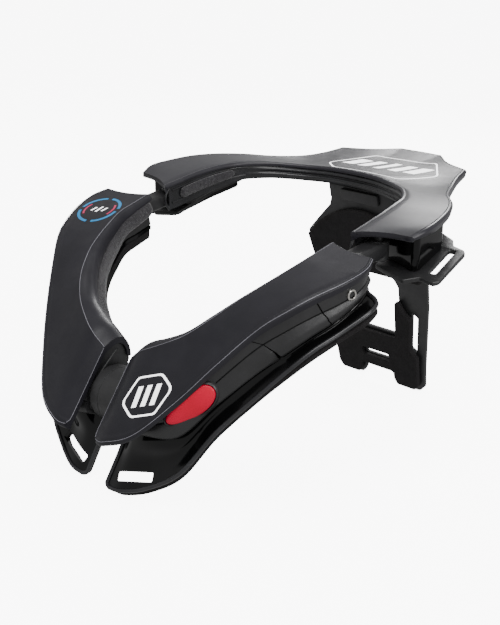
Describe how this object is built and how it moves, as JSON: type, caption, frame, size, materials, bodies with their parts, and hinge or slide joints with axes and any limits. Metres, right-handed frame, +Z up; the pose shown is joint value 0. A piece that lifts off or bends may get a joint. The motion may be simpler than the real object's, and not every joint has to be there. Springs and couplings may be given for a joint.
{
  "type": "motocross neck brace",
  "caption": "Hinged plastic neck collar with two front halves latched at the throat, padded chest plates, strap plates and a back support with two legs",
  "frame": {"origin": "centre of the footprint, on the surface the brace stands on", "axes": "+X is the wearer's left, +Y the rear, +Z up; the brace stands on its chest plates and back support"},
  "size_m": [0.251, 0.2978, 0.1618],
  "materials": {
    "table": "satin moulded nylon",
    "rear_table": "satin moulded nylon",
    "shell": "satin moulded nylon",
    "gloss": "polished moulded plastic",
    "foam": "matte closed-cell foam",
    "neck_pad": "brushed loop cloth on foam",
    "drum": "satin moulded nylon",
    "button": "satin moulded plastic",
    "screw": "polished"
  },
  "bodies": {
    "rear_part": {"rear_table": "rear_table", "rear_inner_wall": "gloss", "hub": "shell", "clip_tab": "shell", "back_support": "shell", "upper_back_pad": "foam", "lower_back_pad": "foam", "left_rear_neck_pad": "neck_pad", "left_arm_box": "gloss", "left_strap_plate": "shell", "left_strap_foam": "foam", "right_rear_neck_pad": "neck_pad", "right_arm_box": "gloss", "right_strap_plate": "shell", "right_strap_foam": "foam"},
    "left_half": {"left_table": "table", "left_upper_shell": "shell", "left_lower_shell": "shell", "left_neck_pad": "neck_pad", "left_screw": "screw", "left_chest_plate": "gloss", "left_chest_foam": "foam", "left_tongue": "shell", "left_end_plug": "drum", "latch_drum": "drum"},
    "right_half": {"right_table": "table", "right_upper_shell": "shell", "right_lower_shell": "shell", "right_neck_pad": "neck_pad", "right_screw": "screw", "right_chest_plate": "gloss", "right_chest_foam": "foam", "right_tongue": "shell", "right_end_plug": "drum"},
    "left_button": {"left_release_button": "button"},
    "right_button": {"right_release_button": "button"}
  },
  "joints": [
    {"name": "left_hinge", "type": "hinge", "parent": "rear_part", "child": "left_half", "pos_m": [0.086, -0.00685, 0.13334], "axis": [0, -0.0571, 0.9984], "range_deg": [0, 40]},
    {"name": "right_hinge", "type": "hinge", "parent": "rear_part", "child": "right_half", "pos_m": [-0.086, -0.00685, 0.13334], "axis": [0, 0.0571, -0.9984], "range_deg": [0, 40]},
    {"name": "left_button_press", "type": "slide", "parent": "left_half", "child": "left_button", "axis": [-0.6209, 0.7826, 0.0447], "range_m": [0, 0.002], "stiffness_N_per_m": 600},
    {"name": "right_button_press", "type": "slide", "parent": "right_half", "child": "right_button", "axis": [0.6209, 0.7826, 0.0447], "range_m": [0, 0.002], "stiffness_N_per_m": 600}
  ]
}
